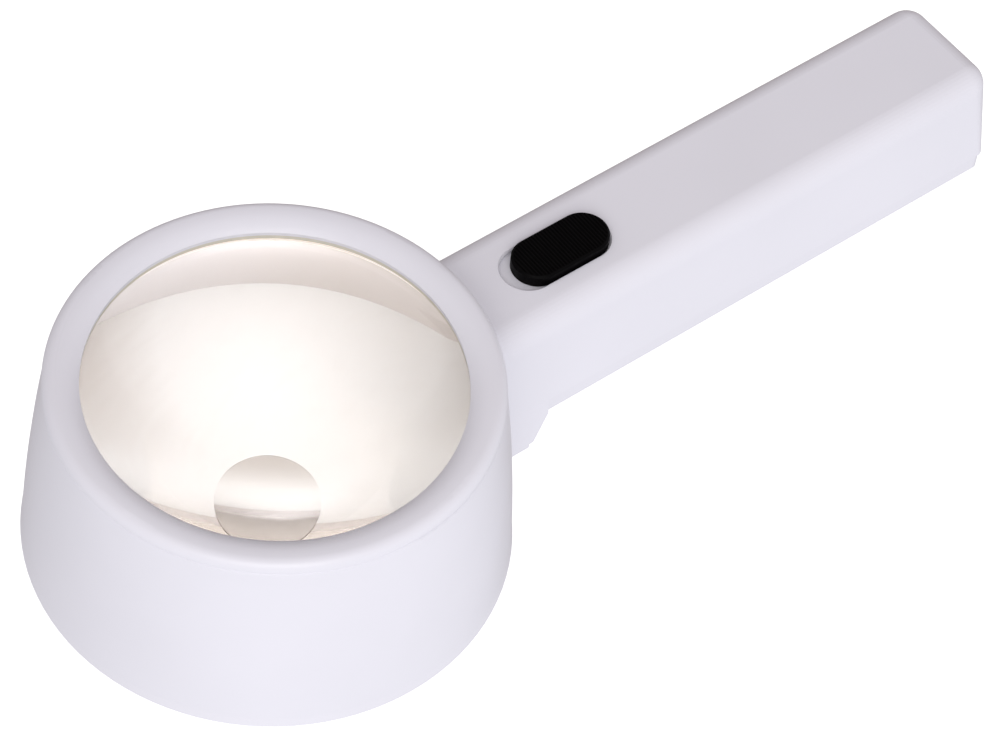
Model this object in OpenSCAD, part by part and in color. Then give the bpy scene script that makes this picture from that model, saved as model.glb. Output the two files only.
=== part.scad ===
// Illuminated stand magnifier: a lens head on a wide skirt, with a straight battery handle.
// Millimetres. The origin is on the lens axis in the plane that the skirt stands on,
// +Z runs up through the lens and +X along the handle.

/* [Head] */
// Radius of the skirt where it stands on the page
base_r = 50; // [49.5:0.1:50.5]
// Radius of the skirt just below its rounded shoulder
shoulder_r = 45.6; // [45.4:0.1:46]
// Height of the head, from the page to the crown of the bezel
head_h = 47.6; // [47:0.1:48.2]
// Radius of the clear opening in the bezel
opening_r = 38.2; // [37.8:0.1:38.2]
// Radius of the slight outward bow of the skirt, seen from the side
skirt_bow = 480; // [400:20:900]
// Thickness of the skirt's wall at the base
skirt_wall = 2.3; // [2:0.1:2.6]

/* [Lens] */
// Radius of curvature of the main lens's upper surface
lens_top_curve = 225; // [215:5:300]
// Radius of curvature of the main lens's lower surface
lens_low_curve = 124; // [115:1:150]
// Thickness of the main lens where its two curves meet its rim
lens_rim_t = 1.6; // [1.2:0.1:1.8]
// Radius of the stronger reading segment
insert_r = 10.25; // [9:0.25:10.25]
// Distance from the lens axis to the segment's centre
insert_offset = 28.8; // [26:0.2:28.8]
// Direction of the segment round the lens axis, measured from the handle
insert_turn = -129; // [-180:1:180]
// Radius of curvature of the segment's upper surface
insert_curve = 38; // [36:1:60]

/* [Handle] */
// Distance from the lens axis to the end of the handle
handle_end = 182; // [181.6:0.2:190]
// Width of the handle at its top edges
handle_w = 27.8; // [27.6:0.1:28.6]
// Extra width of the handle on each side at the split line
handle_draft = 0.5; // [0.3:0.05:0.6]
// Height of the handle's top face above the page
handle_top = 37.75; // [37.5:0.05:38.2]
// Height of the split line between the housing and the battery cover
split_z = 11.5; // [11.4:0.05:11.6]
// Height of the handle's underside above the page
handle_bottom = 7.5; // [7.4:0.05:7.6]
// Radius of the handle's top edges
handle_round = 5.3; // [5:0.1:6]
// Radius of the upright corners at the handle's end, at the split line
corner_round = 2.2; // [2.2:0.1:4]
// Wall thickness of the handle
handle_wall = 2; // [1.8:0.1:2.2]

/* [Switch] */
// Distance from the lens axis to the middle of the slider cap, with the slider at the rear
slider_x = 71.9; // [71.6:0.1:72.6]
// Length of the slider cap
slider_l = 22.9; // [22:0.1:23.6]
// Width of the slider cap
slider_w = 10.9; // [10:0.1:11]
// Height of the slider cap above the handle's top face
slider_proud = 1.8; // [1.4:0.1:2]
// Travel of the slider towards the head
slider_travel = 2.5; // [2:0.1:2.5]
// Spacing of the fine grip ribs across the cap
rib_pitch = 0.75; // [0.7:0.05:1]

/* [Batteries] */
// Diameter of one AAA cell
cell_d = 10.5; // [10.3:0.1:10.5]
// Length of one AAA cell over its positive button
cell_l = 44.4; // [44:0.1:44.5]
// Length of a contact spring with a cell in place
spring_l = 3.8; // [3.4:0.1:4]

/* [Hidden] */
$fn = 96;
eps = 0.01;

// Head levels and radii
lip_z = head_h - 2.7;                       // underside of the bezel's inner lip
shoulder_z = head_h - 2.6;                  // top of the skirt
lens_z = head_h - 4.2;                      // upper edge of the lens rim
ledge_z = lens_z - 2.1;                     // ledge that carries the lens
lens_r = opening_r + 2.2;
ledge_r = lens_r - 1.2;
flange_r = ledge_r + 0.3;
socket_r = shoulder_r - 2.55;
gasket_r = lens_r + 0.2;
gasket_in = opening_r + 0.15;
notch_gap = 0.3;                            // between the segment and the ring's notch
insert_step = 0.35;                         // how far the segment's edge stands up
seat_sag = lens_top_curve - sqrt(pow(lens_top_curve, 2) - pow(insert_r, 2));
seat_depth = seat_sag + 0.1;                // depth of the segment's seat at its middle
shoulder_round = 1;
flare_h = 2;                                // height of the slight flare at the foot
flare = 0.3;                                // how far the foot flares out
crown_out = 2.2;                            // bezel rounding, outer edge
crown_r = shoulder_r - 2.9;                 // where the bezel's face begins to fall inwards
crown_curve = 6.3;                          // radius of that inward fall
bezel_r = shoulder_r - 0.05;
seam = 0.08;                                // open joint between bezel and skirt

// Outer face of the skirt: an arc in side view, from the flare to the shoulder
foot_point = [base_r - flare, flare_h];
bow_span = [shoulder_r, shoulder_z - shoulder_round] - foot_point;
bow_reach = sqrt(pow(skirt_bow, 2) - pow(norm(bow_span) / 2, 2));
bow_centre = foot_point + bow_span / 2
    - bow_reach * [bow_span.y, -bow_span.x] / norm(bow_span);

// Handle
half_top = handle_w / 2;
half_split = half_top + handle_draft;
end_top = handle_end - 1.8;                 // the end face leans out towards the split line
neck_start = 30;                            // handle solid begins inside the skirt
inner_half = half_split - handle_wall - 0.2;
top_in = handle_top - handle_wall;          // underside of the handle's top wall
neck_back = 60.6;                           // where the neck's slope meets the underside
neck_foot = 56.6;                           // where the neck's slope meets the page
neck_half = 15.4;                           // half width of the neck at the page
neck_in = 12.2;                             // half width of the light chamber
neck_wall = 2;

// Opening in the skirt's wall towards the lamps, flared in plan, and the pane behind it
window_high = 29;
window_flare_h = 7;                         // height of the flared part
window_back = base_r + 0.3;
window_throat = [47.5, 13.8];               // where the flare meets the neck's side wall
window_mouth = [42, 20.5];                  // a point inside the skirt on the line of the flare
pane_x = 48.2;
pane_t = 1;
pane_half = 11.75;
pane_low = 0.5;
pane_high = 30.5;

// Lamp board, tilted so that the lamps point at the middle of the page
board_at = [54.9, 0, 21];
board_tilt = -117;
board_l = 12;
board_half = 10.8;
board_t = 1.2;
led_y = 5.5;
led_r = 2.5;

// Neck plate
plate_half = 11.95;
plate_end = 54.4;
plate_low = 0.35;
plate_t = 1.4;
plate_screw = [52.1, 8.6];

// Switch
recess_r = slider_w / 2 + 0.25;
recess_edge = 0.6;                          // how far the recess's edge is eased outwards
recess_floor = handle_top - 1.2;
recess_gap = 0.25;
recess_front = slider_x - slider_l / 2 - slider_travel - recess_gap;
recess_back = slider_x + slider_l / 2 + recess_gap;
pad_z = top_in - 1.96;                      // underside of the pad that carries the switch
pad_front = 57;
pad_back = 86.5;
pad_half = 8.2;
stem_l = 4;
stem_w = 2.6;
stem_gap = 0.35;
ear_t = 0.6;
switch_x = slider_x - slider_travel / 2;    // middle of the switch body
switch_l = 11.5;
switch_w = 6.4;
switch_h = 4.6;
switch_wall = 0.4;
ear_reach = 9.8;
ear_screw = 7.9;
ear_shank_r = 0.8;
block_l = 7.5;
block_h = 2.2;
base_t = 0.8;
cap_low = recess_floor + 0.14;
cap_top = handle_top + slider_proud;

// Battery bays, from the head towards the end
cell_r = cell_d / 2;
leaf_t = 0.4;
bay_l = cell_l + spring_l + 2 * leaf_t;
cell_z = handle_bottom + 7.3;               // height of the cells' axes
cell_y = cell_r + 0.05;                     // side step of the paired cells
tray_wall = 1.4;
bay_a = 65;                                 // front end of the paired bay
bay_b = bay_a + bay_l + tray_wall;          // front end of the single bay
tray_end = bay_b + bay_l + tray_wall;
tray_half = 11.85;
tray_low_half = 10.95;
tray_step_z = split_z + 1.7;
tray_floor = cell_z + cell_r + 0.2;         // closed side of the tray, above the cells
tray_t = 1.4;
tray_top = tray_floor + tray_t;
tray_screw_x = [120.5, 159];
tray_screw_y = 8.5;
boss_r = 2.4;
shank_r = 1.05;
pilot_r = shank_r + 0.02;

// Rails under the housing that the battery cover slides on
rail_in = 11.15;
rail_out = 12.15;
tongue_out = 12.95;
rail_low = handle_bottom + 2.1;
tongue_h = 0.8;
rail_start = 63;
rail_end = 176;
run = 0.15;                                 // clearance round the rails
cover_half = half_split - 0.1;
cover_round = 3;                            // upright corners at the cover's end
cover_edge = 0.4;                           // long lower edges of the cover
cover_end_edge = 2.2;                       // lower edge of the cover's end
cover_t = 1.6;
cover_start = neck_back + 0.15;
cover_top = split_z - 0.15;

// Wires
wire_r = 0.6;
wire_z = tray_top + 1.4;
tag_z = pad_z - switch_h - 2.45;            // lower ends of the switch's solder tags
tab_back = tray_end - tray_wall - leaf_t;   // solder tab of the positive contact
tab_mid = bay_b - tray_wall - leaf_t;       // solder tab of the negative contact
tab_gap = wire_r + 0.05;
tilt_up = [cos(board_tilt), 0, -sin(board_tilt)];
tilt_out = [sin(board_tilt), 0, cos(board_tilt)];
function on_board(up, y, out) = board_at + up * tilt_up + [0, y, 0] + out * tilt_out;
positive_route = [
    [tab_back - tab_gap, 0, tray_top + 0.5], [tab_back - tab_gap, 0, wire_z + 1.4],
    [tab_back - 5, 2, wire_z + 0.4], [140, 3, wire_z], [110, 4, wire_z], [86, 2, wire_z],
    [switch_x + 3.5, 0, wire_z], [switch_x + 3.5, 0, tag_z]
];
switched_route = [
    [switch_x - 3.5, 0, tag_z], [switch_x - 3.5, 0, wire_z + 0.6], [63.5, 3, wire_z + 0.2],
    [60.5, 6, wire_z + 0.8], on_board(1, 7, -4), on_board(1, 7, -board_t - 0.05)
];
negative_route = [
    [tab_mid - tab_gap, -5.5, tray_top + 0.5], [tab_mid - tab_gap, -5.5, wire_z + 1.4],
    [104, -6, wire_z], [88, -5, wire_z], [70, -6, wire_z], [61, -7, wire_z + 0.8],
    on_board(1, -7, -4), on_board(1, -7, -board_t - 0.05)
];

// ---- shared shapes ----

// A rounded slot shape standing on z = 0, its round ends centred at x0 and x1
module slot_solid(x0, x1, r, h) {
    linear_extrude(h) {
        translate([x0, 0]) circle(r);
        translate([x1, 0]) circle(r);
        translate([x0, -r]) square([x1 - x0, 2 * r]);
    }
}

// The same shape with a radius that grows from r0 to r1 over its height
module slot_taper(x0, x1, r0, r1, h) {
    translate([x0, 0, 0]) cylinder(r1 = r0, r2 = r1, h = h);
    translate([x1, 0, 0]) cylinder(r1 = r0, r2 = r1, h = h);
    translate([x0, 0, 0]) rotate([90, 0, 90]) linear_extrude(x1 - x0)
        polygon([[-r0, 0], [r0, 0], [r1, h], [-r1, h]]);
}

module box_at(low, high) {
    translate(low) cube(high - low);
}

// The same thing on both sides of the handle
module both_sides() {
    children();
    mirror([0, 1, 0]) children();
}

function unit(v) = v / norm(v);
function corner_cut(p) = concat(
    [p[0]],
    [for (i = [0 : len(p) - 2]) each [0.75 * p[i] + 0.25 * p[i + 1], 0.25 * p[i] + 0.75 * p[i + 1]]],
    [p[len(p) - 1]]
);
function heading(p, i) = unit(p[min(i + 1, len(p) - 1)] - p[max(i - 1, 0)]);
function ring_at(p, t, side, r, n) =
    let (a = unit(cross(t, side)), b = cross(t, a))
    [for (k = [0 : n - 1]) p + r * (cos(360 * k / n) * a + sin(360 * k / n) * b)];

// A round wire along a path; side is a direction that the path never runs along
module tube(path, r, side, n = 8) {
    count = len(path);
    points = [for (i = [0 : count - 1]) each ring_at(path[i], heading(path, i), side, r, n)];
    walls = [
        for (i = [0 : count - 2]) for (k = [0 : n - 1])
            [i * n + k, (i + 1) * n + k, (i + 1) * n + (k + 1) % n, i * n + (k + 1) % n]
    ];
    first = [for (k = [0 : n - 1]) k];
    last = [for (k = [n - 1 : -1 : 0]) (count - 1) * n + k];
    polyhedron(points, concat(walls, [first], [last]), convexity = 6);
}

// A self-tapping screw pointing up, its head's flat underside on z = 0
module pan_screw(length, head_r = 1.9, head_h = 1.5) {
    cylinder(r = shank_r, h = length, $fn = 32);
    difference() {
        translate([0, 0, -head_h]) {
            translate([0, 0, 0.4]) cylinder(r = head_r, h = head_h - 0.4, $fn = 32);
            cylinder(r1 = head_r - 0.4, r2 = head_r, h = 0.4, $fn = 32);
        }
        for (a = [0, 90]) rotate(a)
            box_at([-0.22, -1.1, -head_h - eps], [0.22, 1.1, -head_h + 0.7]);
    }
}

// ---- head ----

// The skirt's outer form, filled in
module skirt_solid() {
    rotate_extrude() {
        polygon([[0, 0], [base_r, 0], foot_point, [0, flare_h]]);
        intersection() {
            translate(bow_centre) circle(skirt_bow, $fn = 720);
            translate([0, flare_h]) square([base_r, bow_span.y]);
        }
        square([shoulder_r - shoulder_round, shoulder_z]);
        translate([shoulder_r - shoulder_round, shoulder_z - shoulder_round])
            circle(shoulder_round);
    }
}

// The hollow under and round the lens, with the ledge left standing
module head_hollow() {
    rotate_extrude()
        polygon([
            [0, -1], [base_r - skirt_wall + 0.1, -1], [base_r - skirt_wall, 0],
            [socket_r + 0.4, ledge_z - 3.85], [ledge_r, ledge_z - 1.15], [ledge_r, ledge_z],
            [socket_r, ledge_z], [socket_r, shoulder_z + 1], [0, shoulder_z + 1]
        ]);
}

// Ring round the lens, its face falling towards the lens, with a spigot that presses into the skirt
module lens_bezel() {
    spigot_in = gasket_r + 0.3;
    color("#e9e8f0") rotate_extrude() {
        intersection() {
            union() {
                translate([bezel_r - crown_out, head_h - crown_out]) circle(crown_out);
                translate([crown_r, lip_z]) square([bezel_r - crown_out - crown_r, head_h - lip_z]);
                translate([crown_r, lip_z]) square([bezel_r - crown_r, head_h - crown_out - lip_z]);
                intersection() {
                    translate([crown_r, head_h - crown_curve]) circle(crown_curve);
                    translate([opening_r, lip_z]) square([crown_r - opening_r, 4]);
                }
            }
            union() {
                translate([opening_r, lip_z]) square([socket_r - opening_r, 4]);
                translate([opening_r, shoulder_z + seam]) square([10, 4]);
            }
        }
        translate([spigot_in, ledge_z + 0.3])
            square([socket_r - 0.15 - spigot_in, shoulder_z + seam + 0.5 - ledge_z]);
    }
}

module main_lens() {
    top_centre = lens_z - sqrt(pow(lens_top_curve, 2) - pow(lens_r, 2));
    low_centre = lens_z - lens_rim_t + sqrt(pow(lens_low_curve, 2) - pow(lens_r, 2));
    color([0.93, 0.95, 0.97, 0.35]) difference() {
        rotate_extrude() {
            intersection() {
                translate([0, top_centre]) circle(lens_top_curve, $fn = 1440);
                translate([0, low_centre]) circle(lens_low_curve, $fn = 1080);
                translate([0, lens_z - 20]) square([lens_r, 40]);
            }
            translate([flange_r, ledge_z]) square([lens_r - flange_r, lens_z - ledge_z]);
        }
        at_insert() cylinder(r = insert_r + 0.03, h = 5);
    }
}

// Puts its children on the flat seat of the segment, square to the lens's upper surface
module at_insert() {
    lens_centre = lens_z - sqrt(pow(lens_top_curve, 2) - pow(lens_r, 2));
    translate([0, 0, lens_centre])
        rotate([0, asin(insert_offset / lens_top_curve), insert_turn])
        translate([0, 0, lens_top_curve - seat_depth])
        children();
}

// Stronger segment bonded into a shallow seat in the lens
module reading_insert() {
    rim_h = insert_step + seat_depth - seat_sag;
    centre = rim_h - sqrt(pow(insert_curve, 2) - pow(insert_r, 2));
    color([0.95, 0.94, 0.92, 0.4]) at_insert() rotate_extrude() intersection() {
        translate([0, centre]) circle(insert_curve, $fn = 720);
        translate([0, eps]) square([insert_r, 4]);
    }
}

// Soft ring squeezed between the lens and the bezel, notched where the segment reaches under it
module lens_gasket() {
    dome = (pow(lens_r, 2) - pow(gasket_in, 2)) / (2 * lens_top_curve);
    color("#d8d0bc") difference() {
        rotate_extrude() polygon([
            [gasket_in, lens_z + dome + 0.03], [lens_r, lens_z + 0.03], [gasket_r, lens_z + 0.03],
            [gasket_r, lip_z - 0.03], [gasket_in, lip_z - 0.03]
        ]);
        rotate([0, 0, insert_turn])
            translate([insert_offset, 0, lens_z - 2]) cylinder(r = insert_r + notch_gap, h = 8);
    }
}

// ---- housing ----

// Handle form above the split line, with rounded top edges and end
module bar(top, half, low_half, end_x, low_end, r, low_r, low_z) {
    hull() {
        for (s = [-1, 1]) {
            translate([end_x - r, s * (half - r), top - r]) sphere(r, $fn = 40);
            translate([neck_start, s * (half - r), top - r]) rotate([0, 90, 0])
                cylinder(r = r, h = 1, $fn = 40);
            translate([low_end - low_r, s * (low_half - low_r), low_z])
                cylinder(r = low_r, h = 0.1, $fn = 40);
            translate([neck_start, s * (low_half - 0.5) - 0.5, low_z]) cube([1, 1, 0.1]);
        }
    }
}

module handle_form() {
    bar(handle_top, half_top, half_split, end_top, handle_end, handle_round, corner_round, split_z);
}

module handle_hollow() {
    bar(top_in, half_top - handle_wall, inner_half, end_top - handle_wall,
        handle_end - handle_wall, handle_round - handle_wall, corner_round - 1.4, split_z - 1);
}

// A side view outline given a width that may change with height
module flank(outline, low_half, high_half, low_z, high_z) {
    intersection() {
        rotate([90, 0, 0]) linear_extrude(60, center = true) polygon(outline);
        rotate([90, 0, 90]) linear_extrude(200)
            polygon([
                [-low_half, low_z], [low_half, low_z], [high_half, high_z], [-high_half, high_z]
            ]);
    }
}

// Neck between skirt and handle, running down to the page
module neck_form() {
    flank([
        [neck_start, 0], [neck_foot - 0.9, 0], [neck_foot - 0.8, 0.9], [neck_foot + 0.3, 1],
        [neck_back, handle_bottom],
        [neck_back, split_z + 0.5], [neck_start, split_z + 0.5]
    ], neck_half, half_split, 0, split_z + 0.5);
}

// Chamber in the neck that holds the lamps, open at the bottom and towards the handle
module neck_hollow() {
    chamber_back = neck_back - neck_wall;
    rotate([90, 0, 0]) linear_extrude(2 * neck_in, center = true) polygon([
        [neck_start, -1], [plate_end + 0.2, -1], [plate_end + 0.2, 1.8],
        [chamber_back, handle_bottom + 2], [chamber_back, split_z + 1], [neck_start, split_z + 1]
    ]);
}

module housing_hollows() {
    difference() {
        union() {
            handle_hollow();
            neck_hollow();
            // Open underside of the handle
            box_at([neck_back, -inner_half, split_z - 3],
                [handle_end - handle_wall - 3.5, inner_half, split_z + 2]);
        }
        skirt_solid();
    }
    head_hollow();
    // Opening towards the lamps, wider near the page
    box_at([40, -pane_half - 0.1, -1], [window_back, pane_half + 0.1, window_high]);
    translate([0, 0, -1]) linear_extrude(window_flare_h + 1) polygon([
        window_mouth, window_throat, [window_back, neck_in], [window_back, -neck_in],
        [window_throat.x, -window_throat.y], [window_mouth.x, -window_mouth.y]
    ]);
}

// Rails, bosses, ribs and the switch pad inside the housing
module housing_fittings() {
    both_sides() {
        box_at([rail_start, rail_in, rail_low], [rail_end, rail_out, split_z + 1.5]);
        box_at([rail_start, rail_in, split_z], [rail_end, inner_half + 0.6, split_z + 1.5]);
        box_at([rail_start, rail_in, rail_low], [rail_end, tongue_out, rail_low + tongue_h]);
        // Strip that the pane in front of the lamps is bonded to
        box_at([pane_x + pane_t + 0.05, pane_half - 1, 2],
            [pane_x + pane_t + 1.05, neck_in + 0.5, window_high]);
        for (x = tray_screw_x)
            translate([x, tray_screw_y, tray_top]) cylinder(r = boss_r, h = top_in - tray_top + 0.5);
        // Boss for the neck plate's screw, tied to the side wall
        translate([plate_screw.x, plate_screw.y, plate_low + plate_t + 0.05])
            cylinder(r = 2.1, h = 10);
        box_at([plate_screw.x - 0.8, plate_screw.y, plate_low + plate_t + 0.05],
            [plate_screw.x + 0.8, neck_in + 0.5, plate_low + plate_t + 9]);
        // Guides that hold the lamp board by its edges
        translate(board_at) rotate([0, board_tilt, 0]) {
            box_at([-board_l / 2 - 1, 10, 0.1], [board_l / 2 - 2, neck_in + 0.5, 1.3]);
            box_at([-board_l / 2 - 1, 10, -board_t - 1.3],
                [board_l / 2 - 2, neck_in + 0.5, -board_t - 0.1]);
        }
    }
    // Rib that the tray's front tongue rests on
    box_at([59.6, -inner_half - 0.5, tray_floor - 1.8], [61.2, inner_half + 0.5, tray_floor - 0.05]);
    box_at([pad_front, -pad_half, pad_z], [pad_back, pad_half, top_in + 0.5]);
}

module upper_housing() {
    color("#e6e5ee") difference() {
        union() {
            difference() {
                union() {
                    skirt_solid();
                    handle_form();
                    neck_form();
                }
                housing_hollows();
            }
            housing_fittings();
        }
        // Recess and slot for the slider
        translate([0, 0, recess_floor])
            slot_solid(recess_front + recess_r, recess_back - recess_r, recess_r, 5);
        translate([0, 0, handle_top - recess_edge + 0.15])
            slot_taper(recess_front + recess_r, recess_back - recess_r, recess_r - 0.05,
                recess_r + recess_edge, recess_edge + 0.2);
        box_at([slider_x - stem_l / 2 - slider_travel - stem_gap, -stem_w / 2 - stem_gap, pad_z - 1],
            [slider_x + stem_l / 2 + stem_gap, stem_w / 2 + stem_gap, recess_floor + 1]);
        // Screw pilots
        for (s = [-1, 1]) {
            translate([switch_x + s * ear_screw, 0, pad_z - 1])
                cylinder(r = ear_shank_r + 0.02, h = 3.4, $fn = 32);
            translate([plate_screw.x, s * plate_screw.y, 0]) cylinder(r = pilot_r, h = 10.5, $fn = 32);
            for (x = tray_screw_x)
                translate([x, s * tray_screw_y, tray_top - 1]) cylinder(r = pilot_r, h = 10, $fn = 32);
        }
    }
}

// ---- lamps ----

module at_board() {
    translate(board_at) rotate([0, board_tilt, 0]) children();
}

// Clear pane across the chamber, behind the opening in the skirt
module led_window() {
    color([0.9, 0.95, 1, 0.35])
        box_at([pane_x, -pane_half, pane_low], [pane_x + pane_t, pane_half, pane_high]);
}

module led_board() {
    color("#2f6b45") at_board()
        box_at([-board_l / 2, -board_half, -board_t], [board_l / 2, board_half, 0]);
}

// A wide-angle lamp standing on the board
module led(y) {
    color([0.97, 0.95, 0.85, 0.8]) at_board() translate([0, y, 0]) {
        cylinder(r = led_r + 0.4, h = 1);
        cylinder(r = led_r, h = 3);
        translate([0, 0, 3]) sphere(led_r);
    }
}

module led_left() { led(led_y); }
module led_right() { led(-led_y); }

module led_resistor() {
    color("#222222") at_board() box_at([2.4, -1.6, 0], [4, 1.6, 0.6]);
}

module neck_plate() {
    color("#e6e5ee") difference() {
        box_at([pane_x + pane_t + 0.1, -plate_half, plate_low],
            [plate_end, plate_half, plate_low + plate_t]);
        for (s = [-1, 1]) translate([plate_screw.x, s * plate_screw.y, 0]) {
            cylinder(r = 1.2, h = 3, $fn = 32);
            translate([0, 0, plate_low - 0.1]) cylinder(r1 = 2, r2 = 1.2, h = 0.9, $fn = 32);
        }
    }
}

// Countersunk screws under the neck
module neck_plate_screws() {
    color("#b9bcc2") for (s = [-1, 1])
        translate([plate_screw.x, s * plate_screw.y, plate_low + 0.05]) difference() {
            union() {
                cylinder(r1 = 1.8, r2 = shank_r, h = 0.8, $fn = 32);
                cylinder(r = shank_r, h = 8.5, $fn = 32);
            }
            for (a = [0, 90]) rotate(a) box_at([-0.2, -1, -eps], [0.2, 1, 0.5]);
        }
}

// ---- switch ----

module switch_frame() {
    low = pad_z - ear_t - switch_h + ear_t;
    color("#c3c6cb") difference() {
        union() {
            box_at([switch_x - ear_reach, -switch_w / 2, pad_z - ear_t],
                [switch_x + ear_reach, switch_w / 2, pad_z]);
            box_at([switch_x - switch_l / 2, -switch_w / 2, low],
                [switch_x + switch_l / 2, switch_w / 2, pad_z - ear_t]);
        }
        box_at([switch_x - switch_l / 2 + switch_wall, -switch_w / 2 + switch_wall, low - 1],
            [switch_x + switch_l / 2 - switch_wall, switch_w / 2 - switch_wall, pad_z - ear_t]);
        box_at([switch_x - stem_l / 2 - slider_travel / 2 - stem_gap, -stem_w / 2 - stem_gap, pad_z - 2],
            [switch_x + stem_l / 2 + slider_travel / 2 + stem_gap, stem_w / 2 + stem_gap, pad_z + 1]);
        for (s = [-1, 1]) translate([switch_x + s * ear_screw, 0, pad_z - 2])
            cylinder(r = 1, h = 3, $fn = 32);
    }
}

module switch_base() {
    low = pad_z - switch_h;
    color("#6b4a2c") difference() {
        box_at([switch_x - switch_l / 2, -switch_w / 2, low - base_t],
            [switch_x + switch_l / 2, switch_w / 2, low]);
        for (i = [-1 : 1])
            box_at([switch_x + i * 3.5 - 0.3, -0.85, low - 2], [switch_x + i * 3.5 + 0.3, 0.85, low + 1]);
    }
}

// Three solder tags with contact pads inside the switch
module switch_terminals() {
    low = pad_z - switch_h;
    color("#d8c27a") for (i = [-1 : 1]) {
        box_at([switch_x + i * 3.5 - 0.25, -0.8, low - 2.4], [switch_x + i * 3.5 + 0.25, 0.8, low]);
        box_at([switch_x + i * 3.5 - 1.2, -1.2, low], [switch_x + i * 3.5 + 1.2, 1.2, low + 0.3]);
    }
}

module switch_screws() {
    color("#b9bcc2") for (s = [-1, 1])
        translate([switch_x + s * ear_screw, 0, pad_z - ear_t]) difference() {
            union() {
                translate([0, 0, -0.9]) cylinder(r = 1.4, h = 0.9, $fn = 32);
                cylinder(r = ear_shank_r, h = 2.2, $fn = 32);
            }
            for (a = [0, 90]) rotate(a) box_at([-0.2, -0.8, -1], [0.2, 0.8, -0.5]);
        }
}

// Block inside the switch with the stem that the cap is pressed on
module switch_actuator() {
    block_top = pad_z - ear_t - 0.15;
    color("#1a1a1c") {
        box_at([slider_x - block_l / 2, -switch_w / 2 + switch_wall + 0.15, block_top - block_h],
            [slider_x + block_l / 2, switch_w / 2 - switch_wall - 0.15, block_top]);
        box_at([slider_x - stem_l / 2, -stem_w / 2, block_top - 0.5],
            [slider_x + stem_l / 2, stem_w / 2, cap_low + 1.2]);
    }
}

// Springy bridge under the block that joins two of the tags
module switch_wiper() {
    block_low = pad_z - ear_t - 0.15 - block_h;
    leaf_low = pad_z - switch_h + 0.55;
    color("#d8c27a") {
        box_at([slider_x - 3.2, -1, block_low - 0.25], [slider_x + 3.2, 1, block_low]);
        for (s = [-1, 1]) translate([slider_x + s * 2.2, 0, 0]) {
            box_at([-0.15, -1, leaf_low], [0.15, 1, block_low]);
            box_at([-0.6, -1, leaf_low - 0.2], [0.6, 1, leaf_low]);
        }
    }
}

// Black cap with fine ribs across its top and a socket for the stem
module switch_slider() {
    r = slider_w / 2;
    front = slider_x - slider_l / 2 + r;
    back = slider_x + slider_l / 2 - r;
    edge = 0.4;
    rim = 0.55;
    rib_depth = 0.18;
    color("#101012") difference() {
        union() {
            translate([0, 0, cap_low]) slot_solid(front, back, r, cap_top - cap_low - edge);
            translate([0, 0, cap_top - edge]) slot_taper(front, back, r, r - edge, edge);
        }
        intersection() {
            for (i = [-15 : 15])
                box_at([slider_x + i * rib_pitch - 0.17, -r, cap_top - rib_depth],
                    [slider_x + i * rib_pitch + 0.17, r, cap_top + 1]);
            translate([0, 0, cap_top - 1]) slot_solid(front, back, r - rim, 3);
        }
        box_at([slider_x - stem_l / 2, -stem_w / 2, cap_low - 1],
            [slider_x + stem_l / 2, stem_w / 2, cap_low + 1.2]);
    }
}

// ---- battery compartment ----

module battery_tray() {
    front = bay_a - tray_wall;
    color("#dcdbe4") difference() {
        union() {
            box_at([front, -tray_half, tray_floor], [tray_end, tray_half, tray_top]);
            // Tongue that rests on the housing's rib
            box_at([59.4, -7, tray_floor], [front, 7, tray_top]);
            both_sides()
                box_at([front, tray_half - 1.15, tray_step_z], [tray_end, tray_half, tray_top]);
            // End walls and the partition between the bays
            for (x = [front, bay_b - tray_wall, tray_end - tray_wall]) {
                box_at([x, -tray_half, tray_step_z], [x + tray_wall, tray_half, tray_top]);
                box_at([x, -tray_low_half, cell_z - 4.3], [x + tray_wall, tray_low_half, tray_step_z]);
            }
            // Walls that keep the single cell in the middle
            both_sides()
                box_at([bay_b + 4, cell_r + 0.2, cell_z - 2.5], [tray_end - 4, cell_r + 1.2, tray_top]);
            // Low fence between the paired cells
            box_at([bay_a + 8, -0.5, cell_z + 3.2], [bay_b - 9, 0.5, tray_top]);
        }
        for (x = tray_screw_x) for (s = [-1, 1])
            translate([x, s * tray_screw_y, tray_floor - 1]) cylinder(r = 1.3, h = 4, $fn = 32);
        // Slots for the two solder tabs
        box_at([bay_b - tray_wall - leaf_t - 0.1, -7, tray_floor - 1],
            [bay_b - tray_wall + 0.05, -4, tray_top + 1]);
        box_at([tray_end - tray_wall - leaf_t - 0.1, -1.5, tray_floor - 1],
            [tray_end - tray_wall + 0.05, 1.5, tray_top + 1]);
    }
}

module tray_screws() {
    color("#b9bcc2") for (x = tray_screw_x) for (s = [-1, 1])
        translate([x, s * tray_screw_y, tray_floor]) pan_screw(9);
}

// A cell with its flat negative end at the origin and its button towards +X
module cell() {
    rotate([0, 90, 0]) {
        cylinder(r = cell_r - 0.35, h = 0.35);
        translate([0, 0, 0.35]) cylinder(r = cell_r, h = cell_l - 1.95);
        translate([0, 0, cell_l - 1.6]) cylinder(r1 = cell_r, r2 = cell_r - 0.4, h = 0.4);
        cylinder(r = 1.9, h = cell_l);
    }
}

module battery_1() {
    color("#3d4a5c") translate([bay_b - tray_wall - leaf_t - cell_l, cell_y, cell_z]) cell();
}

module battery_2() {
    color("#3d4a5c") translate([bay_a + leaf_t + cell_l, -cell_y, cell_z]) mirror([1, 0, 0]) cell();
}

module battery_3() {
    color("#3d4a5c") translate([tray_end - tray_wall - leaf_t - cell_l, 0, cell_z]) cell();
}

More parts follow.
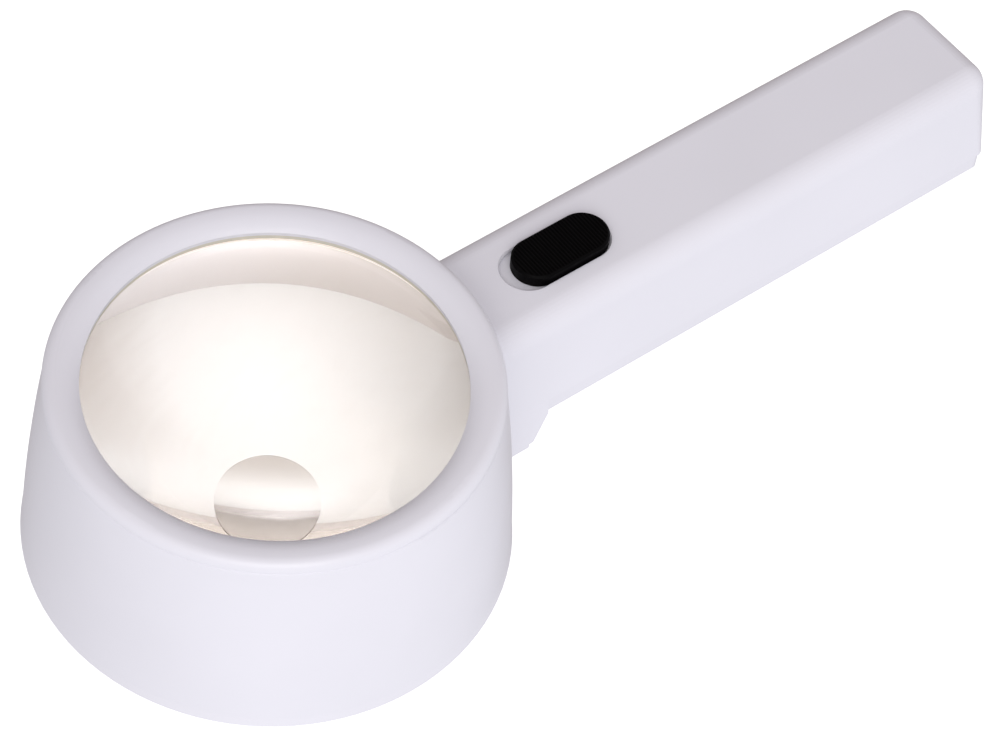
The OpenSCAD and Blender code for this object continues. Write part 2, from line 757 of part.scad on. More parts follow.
// A cone spring from its wide end at the origin towards +X
module cone_spring() {
    wire = 0.3;
    turns = 3.5;
    steps = 56;
    path = [
        for (i = [0 : steps])
            let (t = i / steps, a = 360 * turns * t, r = 3.5 - 1.3 * t)
            [wire + (spring_l - 2 * wire) * t, r * cos(a), r * sin(a)]
    ];
    color("#cfd2d6") tube(path, wire, [1, 0, 0], 6);
}

module spring_1() { translate([bay_a + leaf_t, cell_y, cell_z]) cone_spring(); }
module spring_2() { translate([bay_b + leaf_t, 0, cell_z]) cone_spring(); }
module spring_3() {
    translate([bay_b - tray_wall - leaf_t, -cell_y, cell_z]) mirror([1, 0, 0]) cone_spring();
}

leaf_low = cell_z - 4;
leaf_high = cell_z + 4.2;

// Plate across the front of the paired bay
module front_link() {
    color("#cfd2d6") box_at([bay_a, -9.3, leaf_low], [bay_a + leaf_t, 9.3, leaf_high]);
}

// Plate folded over the partition's open edge, joining the first cell to the third
module centre_link() {
    face = bay_b - tray_wall - leaf_t;
    color("#cfd2d6") {
        box_at([face, 1.4, leaf_low - 0.7], [face + leaf_t, 9.3, leaf_high]);
        box_at([face, 1.4, leaf_low - 0.7], [bay_b + leaf_t, 4.2, leaf_low - 0.3]);
        box_at([bay_b, -4.2, leaf_low - 0.7], [bay_b + leaf_t, 4.2, leaf_high]);
    }
}

module negative_contact() {
    face = bay_b - tray_wall - leaf_t;
    color("#cfd2d6") {
        box_at([face, -9.3, leaf_low], [face + leaf_t, -1.4, leaf_high]);
        box_at([face, -6.5, leaf_high - 1], [face + leaf_t, -4.5, tray_top + 2]);
    }
}

module positive_contact() {
    face = tray_end - tray_wall - leaf_t;
    color("#cfd2d6") {
        box_at([face, -4.2, leaf_low], [face + leaf_t, 4.2, leaf_high]);
        box_at([face, -1, leaf_high - 1], [face + leaf_t, 1, tray_top + 2]);
    }
}

module lead(route) {
    tube(corner_cut(corner_cut(route)), wire_r, unit([0, 1, 0.05]));
}

module positive_lead() { color("#b3262b") lead(positive_route); }
module switched_lead() { color("#b3262b") lead(switched_route); }
module negative_lead() { color("#1c1c1f") lead(negative_route); }

// Cover under the handle; it slides off towards the end along the housing's rails
module battery_cover() {
    r = cover_round;
    end_x = handle_end - 0.15;
    groove_out = tongue_out + run;
    groove_top = rail_low + tongue_h + run;
    color("#e3e2eb") difference() {
        intersection() {
            // End view, with small bottom rounding
            rotate([90, 0, 90]) linear_extrude(300) {
                polygon([
                    [-cover_half + cover_edge, handle_bottom], [cover_half - cover_edge, handle_bottom],
                    [cover_half, handle_bottom + cover_edge], [cover_half, cover_top],
                    [-cover_half, cover_top], [-cover_half, handle_bottom + cover_edge]
                ]);
                for (s = [-1, 1])
                    translate([s * (cover_half - cover_edge), handle_bottom + cover_edge])
                        circle(cover_edge);
            }
            // Plan, with the end's round corners
            translate([0, 0, handle_bottom - 1]) linear_extrude(10) {
                translate([cover_start, -20]) square([end_x - r - cover_start, 40]);
                translate([cover_start, -cover_half + r])
                    square([end_x - cover_start, 2 * (cover_half - r)]);
                for (s = [-1, 1]) translate([end_x - r, s * (cover_half - r)]) circle(r);
            }
            // Side view, with the end's lower edge rounded
            rotate([90, 0, 0]) linear_extrude(60, center = true) {
                translate([cover_start, handle_bottom])
                    square([end_x - cover_end_edge - cover_start, 10]);
                translate([cover_start, handle_bottom + cover_end_edge])
                    square([end_x - cover_start, 10]);
                translate([end_x - cover_end_edge, handle_bottom + cover_end_edge])
                    circle(cover_end_edge);
            }
        }
        // Inside of the cover and the grooves for the rails
        box_at([cover_start - 1, -rail_out - run, handle_bottom + cover_t],
            [end_x - 2, rail_out + run, cover_top + 1]);
        box_at([cover_start - 1, -groove_out, handle_bottom + cover_t],
            [rail_end + 0.5, groove_out, groove_top]);
        // Thumb hollow with grip ridges
        translate([74, 0, handle_bottom - 0.01]) {
            difference() {
                translate([0, 0, -eps]) slot_taper(-2, 6, 6.6, 6, 0.7);
                for (i = [0 : 4]) box_at([-3 + i * 2.5, -4.5, -1], [-2 + i * 2.5, 4.5, 1]);
            }
        }
    }
}

upper_housing();
lens_bezel();
main_lens();
reading_insert();
lens_gasket();
led_window();
led_board();
led_left();
led_right();
led_resistor();
neck_plate();
neck_plate_screws();
switch_frame();
switch_base();
switch_terminals();
switch_screws();
switch_actuator();
switch_wiper();
switch_slider();
battery_tray();
tray_screws();
battery_1();
battery_2();
battery_3();
spring_1();
spring_2();
spring_3();
front_link();
centre_link();
negative_contact();
positive_contact();
positive_lead();
switched_lead();
negative_lead();
battery_cover();
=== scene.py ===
"""Looks for the illuminated stand magnifier: materials, the optical parts, light, floor and camera."""

import math

import bmesh
import bpy
from mathutils import Matrix, Vector


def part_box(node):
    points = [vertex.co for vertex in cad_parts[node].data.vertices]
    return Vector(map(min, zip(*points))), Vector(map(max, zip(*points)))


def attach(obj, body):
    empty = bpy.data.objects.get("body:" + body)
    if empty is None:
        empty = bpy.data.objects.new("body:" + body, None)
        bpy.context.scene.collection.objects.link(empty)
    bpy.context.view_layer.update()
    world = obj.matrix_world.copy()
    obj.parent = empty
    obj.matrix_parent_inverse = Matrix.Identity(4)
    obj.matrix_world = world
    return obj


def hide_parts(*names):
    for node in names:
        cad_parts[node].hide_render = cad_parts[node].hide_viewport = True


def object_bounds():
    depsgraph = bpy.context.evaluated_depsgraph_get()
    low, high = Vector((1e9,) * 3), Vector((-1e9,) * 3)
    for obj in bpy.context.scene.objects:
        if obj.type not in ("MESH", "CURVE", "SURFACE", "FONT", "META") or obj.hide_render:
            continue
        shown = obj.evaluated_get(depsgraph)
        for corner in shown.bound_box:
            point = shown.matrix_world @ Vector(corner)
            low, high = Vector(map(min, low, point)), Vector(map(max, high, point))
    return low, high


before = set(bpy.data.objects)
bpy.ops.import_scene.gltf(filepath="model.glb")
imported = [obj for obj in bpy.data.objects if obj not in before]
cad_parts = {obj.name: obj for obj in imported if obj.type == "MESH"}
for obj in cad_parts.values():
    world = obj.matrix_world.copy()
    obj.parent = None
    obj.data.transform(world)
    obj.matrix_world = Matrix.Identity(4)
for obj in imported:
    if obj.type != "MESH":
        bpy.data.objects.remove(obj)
cad_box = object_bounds()
MM = 0.001
ACRYLIC_IOR = 1.49


# ---- node helpers ----

class Paint:
    """One node material: a Principled shader and short calls that add procedural detail to it."""

    def __init__(self, name, colour, roughness, **sockets):
        self.mat = bpy.data.materials.new(name)
        self.mat.use_nodes = True
        self.mat.diffuse_color = (*colour, 1.0)
        self.nodes = self.mat.node_tree.nodes
        self.links = self.mat.node_tree.links
        self.shader = self.nodes["Principled BSDF"]
        self.set("Base Color", (*colour, 1.0))
        self.set("Roughness", roughness)
        for socket, value in sockets.items():
            self.set(socket.replace("_", " "), value)
        self.coords = self.add("ShaderNodeTexCoord").outputs["Object"]
        self.height = None

    def set(self, socket, value):
        self.shader.inputs[socket].default_value = value

    def add(self, kind, inputs=(), **props):
        node = self.nodes.new(kind)
        for key, value in props.items():
            setattr(node, key, value)
        for key, value in dict(inputs).items():
            if isinstance(value, bpy.types.NodeSocket):
                self.links.new(value, node.inputs[key])
            else:
                node.inputs[key].default_value = value
        return node

    def math(self, operation, *values):
        """One arithmetic node."""
        return self.add("ShaderNodeMath", dict(enumerate(values)), operation=operation).outputs[0]

    def noise(self, scale, detail=2.0, roughness=0.5, stretch=None):
        where = self.coords
        if stretch:
            where = self.add("ShaderNodeMapping", {"Vector": where, "Scale": stretch}).outputs[0]
        return self.add("ShaderNodeTexNoise", {
            "Vector": where, "Scale": scale, "Detail": detail, "Roughness": roughness}).outputs["Fac"]

    def grooves(self, scale, direction="X", profile="SIN", distortion=0.0):
        return self.add("ShaderNodeTexWave", {
            "Vector": self.coords, "Scale": scale, "Distortion": distortion},
            bands_direction=direction, wave_profile=profile).outputs["Fac"]

    def range(self, value, low, high, start=0.0, end=1.0):
        return self.add("ShaderNodeMapRange", {
            "Value": value, "From Min": start, "From Max": end,
            "To Min": low, "To Max": high}).outputs["Result"]

    def tint(self, value, dark, light):
        """Base colour that runs from dark to light with value."""
        mix = self.add("ShaderNodeMix", {"Factor": value}, data_type="RGBA")
        mix.inputs[6].default_value = (*dark, 1.0)
        mix.inputs[7].default_value = (*light, 1.0)
        self.links.new(mix.outputs[2], self.shader.inputs["Base Color"])
        return self

    def cast(self, factor, colour):
        """Multiplies the base colour by colour, as far as factor says."""
        base = self.shader.inputs["Base Color"]
        mix = self.add("ShaderNodeMix", {"Factor": factor}, data_type="RGBA", blend_type="MULTIPLY")
        self.links.new(base.links[0].from_socket, mix.inputs[6])
        mix.inputs[7].default_value = (*colour, 1.0)
        self.links.new(mix.outputs[2], base)
        return self

    def rough(self, value, low, high, start=0.3, end=0.7):
        self.links.new(self.range(value, low, high, start, end), self.shader.inputs["Roughness"])
        return self

    def bump(self, value, depth):
        """Relief of that depth in metres, on top of any relief there already."""
        inputs = {"Height": value, "Strength": 1.0, "Distance": depth}
        if self.height is not None:
            inputs["Normal"] = self.height
        self.height = self.add("ShaderNodeBump", inputs).outputs["Normal"]
        self.links.new(self.height, self.shader.inputs["Normal"])
        return self


# ---- materials ----

def moulded(name, colour, roughness, grain=0.000004):
    """Satin moulded plastic: faint drift in tone, fine spark-eroded grain, slightly uneven gloss."""
    paint = Paint(name, colour, roughness, IOR=1.53)
    tone = paint.noise(22, 3)
    darker = tuple(c * 0.965 for c in colour)
    paint.tint(paint.range(tone, 0, 1, 0.3, 0.7), darker, colour)
    paint.rough(paint.noise(160, 4, 0.6), roughness - 0.05, roughness + 0.06)
    paint.bump(paint.noise(2600, 2), grain)
    paint.bump(paint.noise(75, 1), grain * 5)
    return paint


def skirt_shell(colour):
    """The shell's plastic. Inside the skirt it carries painted light: a painted shade that turns it tan and
    darker towards the neck, and a painted glow that grows towards the lens ledge.
    """
    taper, wall_middle, blur = 0.1, 48.6 * MM, 0.1 * MM
    painted_shade_reach, painted_glow_depth = 36 * MM, 9 * MM
    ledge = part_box("lens_gasket")[0].z - 2 * MM
    paint = moulded("shell_white", colour, 0.36)
    axes = paint.add("ShaderNodeSeparateXYZ", {"Vector": paint.coords}).outputs
    flat = paint.add("ShaderNodeCombineXYZ", {"X": axes["X"], "Y": axes["Y"]}).outputs[0]
    out = paint.add("ShaderNodeVectorMath", {0: flat}, operation="LENGTH").outputs["Value"]

    # 1 on the faces inside the skirt and below the ledge: the skirt narrows upwards by its taper
    upright = paint.math("MULTIPLY_ADD", axes["Z"], taper, out)
    inside = paint.math("MULTIPLY", paint.range(upright, 1, 0, wall_middle - blur, wall_middle + blur),
                        paint.range(axes["Z"], 1, 0, ledge, ledge + 0.3 * MM))

    # Painted shade: inside the skirt the base colour is darkened to a tan, most towards the neck and a
    # little less towards the top
    painted_shade_mask = paint.math("MULTIPLY", inside, paint.range(axes["X"], 0.1, 1, 0, painted_shade_reach))
    painted_shade_mask = paint.math("MULTIPLY", painted_shade_mask, paint.range(axes["Z"], 1, 0.8, 0, painted_shade_reach))
    paint.cast(painted_shade_mask, (0.78, 0.735, 0.67))
    # Painted glow: inside the skirt the plastic emits a tan light, faint low down and strongest just under
    # the lens ledge, though it is no lamp
    glow = paint.range(axes["Z"], 0.12, 0.8, ledge - painted_glow_depth, ledge - 2 * MM)
    paint.set("Emission Color", (0.85, 0.74, 0.64, 1.0))
    paint.links.new(paint.math("MULTIPLY", inside, glow), paint.shader.inputs["Emission Strength"])
    return paint


def ribbed_black():
    """Black cap: matte and slightly uneven, with a trace of dust."""
    paint = Paint("cap_black", (0.004, 0.004, 0.0045), 0.55, IOR=1.46, Specular_IOR_Level=0.06)
    dust = paint.noise(900, 4, 0.7)
    paint.tint(paint.range(dust, 0, 1, 0.55, 0.85), (0.001, 0.0007, 0.0009), (0.003, 0.0026, 0.0027))
    paint.rough(paint.noise(420, 3), 0.45, 0.68)
    paint.bump(paint.noise(3200, 2), 0.000006)
    return paint.mat


def clear(name, colour, roughness):
    """Polished acrylic with a faint film of fingerprints that softens the gloss here and there."""
    paint = Paint(name, colour, roughness, IOR=ACRYLIC_IOR, Transmission_Weight=1.0)
    paint.tint(paint.noise(40, 2), tuple(c * 0.992 for c in colour), colour)
    smudge = paint.noise(55, 5, 0.65)
    paint.rough(smudge, roughness, roughness + 0.02, 0.5, 0.75)
    return paint.mat


def soft_ring():
    """Elastomer ring: dull, a little mottled."""
    paint = Paint("gasket_ring", (0.70, 0.67, 0.58), 0.7, IOR=1.45)
    paint.tint(paint.noise(300, 4), (0.64, 0.61, 0.52), (0.74, 0.71, 0.62))
    paint.rough(paint.noise(700, 2), 0.62, 0.8)
    paint.bump(paint.noise(1800, 2), 0.00001)
    return paint.mat


def metal(name, colour, roughness, brushed=None):
    """Plated metal with tone drift and drawing marks or a fine tumbled texture."""
    paint = Paint(name, colour, roughness, Metallic=1.0)
    paint.tint(paint.noise(140, 3), tuple(c * 0.82 for c in colour), colour)
    marks = paint.noise(900, 3, 0.6, stretch=brushed or (1, 1, 1))
    paint.rough(marks, roughness - 0.06, roughness + 0.12)
    paint.bump(marks, 0.000008)
    return paint.mat


def solder_mask():
    """Circuit board: green mask with copper tracks showing through as ridges."""
    paint = Paint("board_green", (0.02, 0.16, 0.06), 0.35, IOR=1.5)
    tracks = paint.grooves(260, "Y", "SAW", 2.0)
    paint.tint(paint.range(tracks, 0, 1, 0.55, 0.6), (0.012, 0.11, 0.045), (0.03, 0.21, 0.08))
    paint.rough(paint.noise(500, 3), 0.28, 0.45)
    paint.bump(paint.range(tracks, 0, 1, 0.55, 0.6), 0.00003)
    return paint.mat


def phenolic():
    """Brown pressed laminate with paper fibre showing in it."""
    paint = Paint("laminate_brown", (0.22, 0.11, 0.045), 0.5, IOR=1.55)
    fibres = paint.noise(1200, 4, 0.6, stretch=(1, 6, 1))
    paint.tint(fibres, (0.14, 0.065, 0.025), (0.30, 0.16, 0.07))
    paint.rough(fibres, 0.42, 0.6)
    paint.bump(fibres, 0.00001)
    return paint.mat


def cell_wrap(node):
    """Shrink sleeve on a cell: dark blue body, one plain silver band, bare steel ends."""
    low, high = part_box(node)
    flipped = node == "battery_2"
    paint = Paint("wrap_" + node, (0.05, 0.08, 0.15), 0.3, IOR=1.5)
    along = paint.add("ShaderNodeSeparateXYZ", {"Vector": paint.coords}).outputs["X"]
    start, end = (high.x, low.x) if flipped else (low.x, high.x)
    share = paint.range(along, 0, 1, start, end)
    scuff = paint.noise(500, 5, 0.7)
    ramp = paint.add("ShaderNodeValToRGB", {"Fac": share})
    steel, blue, band = (0.60, 0.61, 0.63, 1), (0.035, 0.065, 0.14, 1), (0.68, 0.69, 0.70, 1)
    stops = [(0.0, steel), (0.012, blue), (0.66, band), (0.675, blue), (0.93, band), (0.955, steel)]
    ramp.color_ramp.interpolation = "CONSTANT"
    for i, (place, colour) in enumerate(stops):
        if i < 2:
            stop = ramp.color_ramp.elements[i]
            stop.position = place
        else:
            stop = ramp.color_ramp.elements.new(place)
        stop.color = colour
    worn = paint.add("ShaderNodeMix", {"Factor": paint.range(scuff, 0, 0.35, 0.62, 0.8)},
                     data_type="RGBA")
    paint.links.new(ramp.outputs["Color"], worn.inputs[6])
    worn.inputs[7].default_value = (0.35, 0.36, 0.38, 1)
    paint.links.new(worn.outputs[2], paint.shader.inputs["Base Color"])
    ends = paint.add("ShaderNodeMath", {0: share, 1: 0.955}, operation="GREATER_THAN").outputs[0]
    paint.links.new(ends, paint.shader.inputs["Metallic"])
    paint.rough(scuff, 0.24, 0.42)
    paint.bump(paint.noise(140, 3), 0.00002)
    return paint.mat


def insulation(name, colour):
    """Wire sleeve: soft gloss, slightly uneven."""
    paint = Paint(name, colour, 0.38, IOR=1.5)
    paint.tint(paint.noise(260, 3), tuple(c * 0.75 for c in colour), colour)
    paint.rough(paint.noise(800, 3), 0.3, 0.5)
    paint.bump(paint.noise(1500, 2), 0.00001)
    return paint.mat


def lamp_body():
    """Epoxy lamp, faintly glowing from the die inside."""
    paint = Paint("lamp_epoxy", (1.0, 0.97, 0.86), 0.12, IOR=1.5)
    paint.tint(paint.noise(600, 2), (0.92, 0.87, 0.70), (1.0, 0.97, 0.88))
    paint.rough(paint.noise(900, 2), 0.08, 0.2)
    paint.set("Emission Color", (1.0, 0.93, 0.80, 1.0))
    paint.set("Emission Strength", 2.5)
    return paint.mat


def chip_black():
    paint = Paint("chip_black", (0.02, 0.02, 0.021), 0.45, IOR=1.5)
    paint.tint(paint.noise(1500, 3), (0.012, 0.012, 0.013), (0.03, 0.03, 0.032))
    paint.rough(paint.noise(2200, 2), 0.35, 0.55)
    paint.bump(paint.noise(2600, 2), 0.00001)
    return paint.mat


def pale_floor():
    """White sweep that glows a little unevenly, like a lit studio floor."""
    paint = Paint("floor_white", (0.3, 0.3, 0.3), 0.85, IOR=1.4)
    paint.tint(paint.noise(9, 3), (0.28, 0.28, 0.28), (0.32, 0.32, 0.32))
    paint.bump(paint.noise(1400, 3), 0.000015)
    paint.set("Emission Color", (1.0, 1.0, 1.0, 1.0))
    glow = paint.range(paint.noise(7, 2), 0.99, 1.02)
    paint.links.new(glow, paint.shader.inputs["Emission Strength"])
    return paint.mat


def page_paper():
    """White paper with painted light and shade: plain white round where the lamps' beams meet, turning a
    darker, tan grey away from there.
    """
    painted_light_centre, painted_shade_start, painted_shade_full = (28 * MM, 31 * MM, 0), 20 * MM, 43 * MM
    paint = Paint("page_paper", (0.78, 0.775, 0.765), 0.85, IOR=1.4)
    away = paint.add("ShaderNodeVectorMath", {0: paint.coords, 1: painted_light_centre}, operation="DISTANCE")
    fibre = paint.range(paint.noise(260, 4, stretch=(1, 3, 1)), -0.03, 0.03, 0.3, 0.7)
    shade = paint.range(away.outputs["Value"], 0, 1, painted_shade_start, painted_shade_full)
    shade = paint.add("ShaderNodeMath", {0: shade, 1: fibre}, operation="ADD", use_clamp=True).outputs[0]
    # Painted shade: the paper darkens to a tan grey with distance from the painted light centre; the fibre
    # noise is real paper texture
    paint.tint(shade, (0.82, 0.82, 0.815), (0.38, 0.30, 0.24))
    paint.bump(paint.noise(1400, 3), 0.000015)
    return paint.mat


def painted_lens_edge():
    """Frosted outer edge of the lens, with painted light: its tan colour paints in the ring round it as
    seen through the lens, and it glows though it is no lamp.
    """
    # Painted reflection: the tan base colour paints in the gasket ring as seen through the lens
    paint = Paint("lens_edge", (0.80, 0.77, 0.66), 0.6, IOR=ACRYLIC_IOR)
    paint.tint(paint.noise(500, 3), (0.76, 0.73, 0.62), (0.84, 0.81, 0.70))
    paint.rough(paint.noise(900, 2), 0.5, 0.7)
    # Painted glow: the frosted edge emits a tan light of its own, though it is no lamp
    paint.set("Emission Color", (0.80, 0.70, 0.61, 1.0))
    paint.set("Emission Strength", 0.5)
    return paint.mat


def dress(node, mat):
    """Gives a CAD node one material in all its slots."""
    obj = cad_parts[node]
    if not obj.material_slots:
        obj.data.materials.append(mat)
    for slot in obj.material_slots:
        slot.link = "OBJECT"
        slot.material = mat


def dress_nodes():
    white = (0.80, 0.795, 0.85)
    shell = skirt_shell(white).mat
    trim = moulded("trim_white", (0.79, 0.785, 0.84), 0.40).mat
    tray = moulded("tray_grey", (0.62, 0.62, 0.66), 0.48, 0.000008).mat
    zinc = metal("zinc_plate", (0.62, 0.63, 0.66), 0.32)
    nickel = metal("nickel_plate", (0.74, 0.73, 0.71), 0.2, (1, 1, 5))
    brass = metal("brass_strip", (0.78, 0.60, 0.30), 0.28, (5, 1, 1))
    red = insulation("sleeve_red", (0.50, 0.02, 0.015))
    black = insulation("sleeve_black", (0.02, 0.02, 0.022))
    plan = {
        shell: ["upper_housing", "lens_bezel"],
        trim: ["battery_cover", "neck_plate"],
        tray: ["battery_tray"],
        soft_ring(): ["lens_gasket"],
        clear("window_clear", (0.97, 0.98, 0.985), 0.06): ["led_window"],
        zinc: ["switch_frame", "switch_screws", "tray_screws", "neck_plate_screws"],
        nickel: ["spring_1", "spring_2", "spring_3", "front_link", "centre_link",
                 "negative_contact", "positive_contact"],
        brass: ["switch_terminals", "switch_wiper"],
        solder_mask(): ["led_board"],
        phenolic(): ["switch_base"],
        chip_black(): ["led_resistor"],
        lamp_body(): ["led_left", "led_right"],
        ribbed_black(): ["switch_slider", "switch_actuator"],
        red: ["positive_lead", "switched_lead"],
        black: ["negative_lead"],
    }
    for mat, nodes in plan.items():
        for node in nodes:
            dress(node, mat)
    for node in ("battery_1", "battery_2", "battery_3"):
        dress(node, cell_wrap(node))


# ---- optical parts ----

def lathe(name, profile, mat, turns=192):
    """A smooth solid of revolution about Z. A point of the profile on the axis becomes one pole."""
    mesh = bmesh.new()
    rings = []
    for r, z in profile:
        if r < 1e-9:
            rings.append([mesh.verts.new((0, 0, z))])
        else:
            angles = [2 * math.pi * k / turns for k in range(turns)]
            rings.append([mesh.verts.new((r * math.cos(a), r * math.sin(a), z)) for a in angles])
    for a, b in zip(rings, rings[1:]):
        for k in range(turns):
            n = (k + 1) % turns
            corners = ([a[0], b[k], b[n]] if len(a) == 1 else
                       [a[k], b[0], a[n]] if len(b) == 1 else [a[k], b[k], b[n], a[n]])
            mesh.faces.new(corners)
    bmesh.ops.recalc_face_normals(mesh, faces=mesh.faces)
    data = bpy.data.meshes.new(name)
    mesh.to_mesh(data)
    mesh.free()
    for face in data.polygons:
        face.use_smooth = True
    data.set_sharp_from_angle(angle=math.radians(30))
    data.materials.append(mat)
    obj = bpy.data.objects.new(name, data)
    bpy.context.scene.collection.objects.link(obj)
    return obj


def arc(radius, centre_z, side, r_from, r_to, steps):
    """Points on a circle about (0, centre_z): its top where side is 1, its bottom where it is -1."""
    rs = [r_from + (r_to - r_from) * i / steps for i in range(steps + 1)]
    return [(r, centre_z + side * math.sqrt(radius ** 2 - r ** 2)) for r in rs]


def optics():
    """Main lens with true spherical faces, and the stronger segment lying on it."""
    acrylic = clear("lens_acrylic", (0.995, 0.995, 0.99), 0.0)
    top_curve, low_curve = 225 * MM, 124 * MM
    rim_t, flange_w, foot_h = 1.6 * MM, 0.9 * MM, 2.1 * MM
    low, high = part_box("main_lens")
    rim = (high.x - low.x) / 2
    rim_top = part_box("lens_gasket")[0].z - 0.03 * MM
    top_z = rim_top - math.sqrt(top_curve ** 2 - rim ** 2)
    low_z = rim_top - rim_t + math.sqrt(low_curve ** 2 - rim ** 2)
    flange, foot = rim - flange_w, rim_top - foot_h
    profile = arc(top_curve, top_z, 1, 0, rim - 0.15 * MM, 48)
    profile += [(rim, rim_top - 0.1 * MM), (rim, foot), (flange, foot)]
    profile += arc(low_curve, low_z, -1, flange, 0, 48)
    lens = lathe("lens_body", profile, acrylic)
    lens.data.materials.append(painted_lens_edge())
    for face in lens.data.polygons:
        on_flange = math.hypot(*face.center[:2]) > flange and face.center.z < rim_top - rim_t
        if abs(face.normal.z) < 0.5 or on_flange:
            face.material_index = 1
    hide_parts("main_lens")
    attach(lens, "magnifier")

    # The segment is turned about the lens's centre of curvature, out to where its CAD solid sits
    size, curve, step, gap = 10.25 * MM, 38 * MM, 0.35 * MM, 0.01 * MM
    low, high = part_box("reading_insert")
    centre = (low + high) / 2
    edge = math.sqrt(top_curve ** 2 - size ** 2) + step
    dome = arc(curve, edge - math.sqrt(curve ** 2 - size ** 2), 1, 0, size, 24)
    under = [(r, z + gap) for r, z in arc(top_curve, 0, 1, size, 0, 24)]
    segment = lathe("segment_lens", dome + under, acrylic, 128)
    pole = Vector((0, 0, top_z))
    segment.matrix_world = (Matrix.Translation(pole)
                            @ (centre - pole).to_track_quat("Z", "Y").to_matrix().to_4x4())
    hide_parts("reading_insert")
    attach(segment, "magnifier")


# ---- stage ----

def stage_piece(name, mesh, mat, height):
    data = bpy.data.meshes.new(name)
    mesh.to_mesh(data)
    mesh.free()
    data.materials.append(mat)
    obj = bpy.data.objects.new(name, data)
    obj.location.z = cad_box[0].z - height
    bpy.context.scene.collection.objects.link(obj)
    return obj


def floor():
    """A white floor that the studio light passes, and the page that the magnifier stands on."""
    mesh = bmesh.new()
    bmesh.ops.create_grid(mesh, x_segments=24, y_segments=24, size=6.0)
    sweep = stage_piece("floor", mesh, pale_floor(), 0.1 * MM)
    sweep.visible_diffuse = sweep.visible_glossy = sweep.visible_shadow = False
    mesh = bmesh.new()
    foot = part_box("upper_housing")[1].y
    bmesh.ops.create_circle(mesh, cap_ends=True, segments=128, radius=foot * 0.985)
    stage_piece("page", mesh, page_paper(), 0.05 * MM)


def softbox(name, place, aim, size, power, colour):
    light = bpy.data.lights.new(name, "AREA")
    light.shape, light.size, light.size_y = "RECTANGLE", *size
    put_light(name, light, place, aim, power, colour)


def put_light(name, light, place, aim, power, colour):
    light.energy, light.color = power, colour
    obj = bpy.data.objects.new(name, light)
    obj.location = place
    obj.rotation_euler = (Vector(aim) - Vector(place)).to_track_quat("-Z", "Y").to_euler()
    obj.visible_camera = False
    bpy.context.scene.collection.objects.link(obj)
    return obj


def surroundings():
    """Studio walls: pale behind the camera, greyer to its left and overhead, dim beyond the handle."""
    world = bpy.data.worlds.new("studio")
    bpy.context.scene.world = world
    world.use_nodes = True
    nodes, links = world.node_tree.nodes, world.node_tree.links

    def share(axis, start, end):
        """How far the looked-at direction runs along an axis, from 0 at start to 1 at end."""
        dot = nodes.new("ShaderNodeVectorMath")
        dot.operation = "DOT_PRODUCT"
        dot.inputs[1].default_value = axis
        links.new(coords.outputs["Generated"], dot.inputs[0])
        ramp = nodes.new("ShaderNodeMapRange")
        ramp.interpolation_type = "SMOOTHSTEP"
        ramp.inputs["From Min"].default_value = start
        ramp.inputs["From Max"].default_value = end
        links.new(dot.outputs["Value"], ramp.inputs["Value"])
        return ramp.outputs["Result"]

    def blend(factor, low, high):
        mix = nodes.new("ShaderNodeMix")
        mix.data_type = "RGBA"
        for socket, value in ((mix.inputs[0], factor), (mix.inputs[6], low), (mix.inputs[7], high)):
            if isinstance(value, bpy.types.NodeSocket):
                links.new(value, socket)
            else:
                socket.default_value = value
        return mix.outputs[2]

    coords = nodes.new("ShaderNodeTexCoord")
    far, near = (0.19, 0.135, 0.105, 1), (0.86, 0.86, 0.91, 1)
    left, right = (0.60, 0.585, 0.60, 1), (0.82, 0.815, 0.85, 1)
    around = blend(share((-0.687, -0.727, 0), -0.85, -0.1), far, near)
    around = blend(share((-0.727, 0.687, 0), 0.1, 0.95), around, left)
    around = blend(share((0.727, -0.687, 0), 0.2, 0.95), around, right)
    overhead = (0.63, 0.60, 0.615, 1)
    colour = blend(share((0, 0, 1), 0.1, 0.85), around, overhead)
    links.new(colour, nodes["Background"].inputs["Color"])


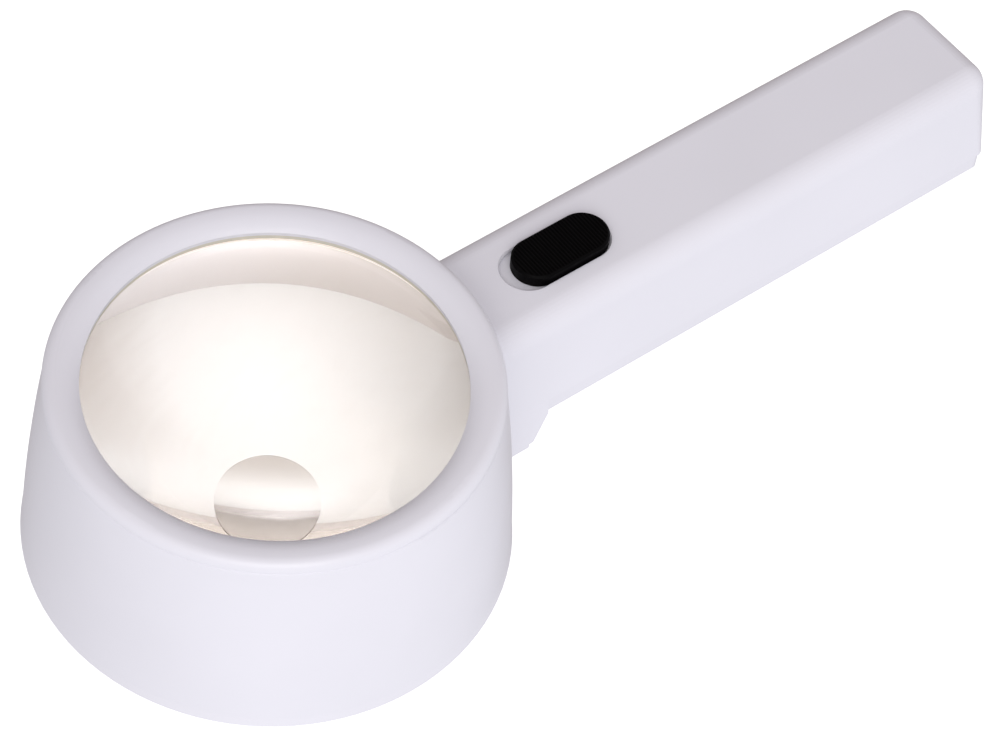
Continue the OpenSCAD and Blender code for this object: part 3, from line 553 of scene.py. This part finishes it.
def lights():
    surroundings()
    head_middle = (0.05, 0.0, 0.02)
    softbox("key", (-0.9, -1.3, 1.1), head_middle, (1.6, 1.2), 16, (1.0, 0.99, 0.98))

    # The two lamps in the neck: their light starts just inside the pane that it comes through
    for side in ("left", "right"):
        low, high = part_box("led_" + side)
        lamp = bpy.data.lights.new("lamp_" + side, "SPOT")
        lamp.spot_size, lamp.spot_blend = math.radians(125), 1.0
        lamp.shadow_soft_size = 2 * MM
        place = (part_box("led_window")[0].x - 3 * MM, (low.y + high.y) / 2, low.z)
        far_wall = (-0.04, -0.01, 0.014)
        obj = put_light("lamp_" + side, lamp, place, far_wall, 0.013, (1.0, 0.91, 0.80))
        obj.visible_transmission = obj.visible_glossy = False

    # Their light evened out over the page by the white inside of the head
    glow = bpy.data.lights.new("page_glow", "AREA")
    glow.shape, glow.size = "DISK", 24 * MM
    x, y, height = 17 * MM, 25 * MM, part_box("main_lens")[0].z - 1 * MM
    obj = put_light("page_glow", glow, (x, y, height), (x, y, 0), 0.0084, (1.0, 0.99, 0.985))
    obj.visible_transmission = obj.visible_glossy = False


def camera():
    """The photograph's viewpoint: a long lens from above and to the left of the handle, slightly rolled."""
    turn, tilt, roll = math.radians(43.37), math.radians(51.35), math.radians(7.06)
    place = Vector((-0.3252, -0.4071, 0.7075))
    ahead = Vector((math.sin(turn) * math.cos(tilt), math.cos(turn) * math.cos(tilt), -math.sin(tilt)))
    right = Vector((math.cos(turn), -math.sin(turn), 0))
    up = right.cross(ahead)
    right, up = (math.cos(roll) * right + math.sin(roll) * up,
                 -math.sin(roll) * right + math.cos(roll) * up)
    data = bpy.data.cameras.new("camera")
    data.lens, data.sensor_width = 155.2, 36
    data.clip_start, data.clip_end = 0.05, 50
    obj = bpy.data.objects.new("camera", data)
    obj.matrix_world = Matrix((
        (right.x, up.x, -ahead.x, place.x),
        (right.y, up.y, -ahead.y, place.y),
        (right.z, up.z, -ahead.z, place.z),
        (0, 0, 0, 1)))
    bpy.context.scene.collection.objects.link(obj)
    bpy.context.scene.camera = obj


dress_nodes()
optics()
floor()
lights()
camera()
bpy.context.scene.view_settings.view_transform = "Standard"
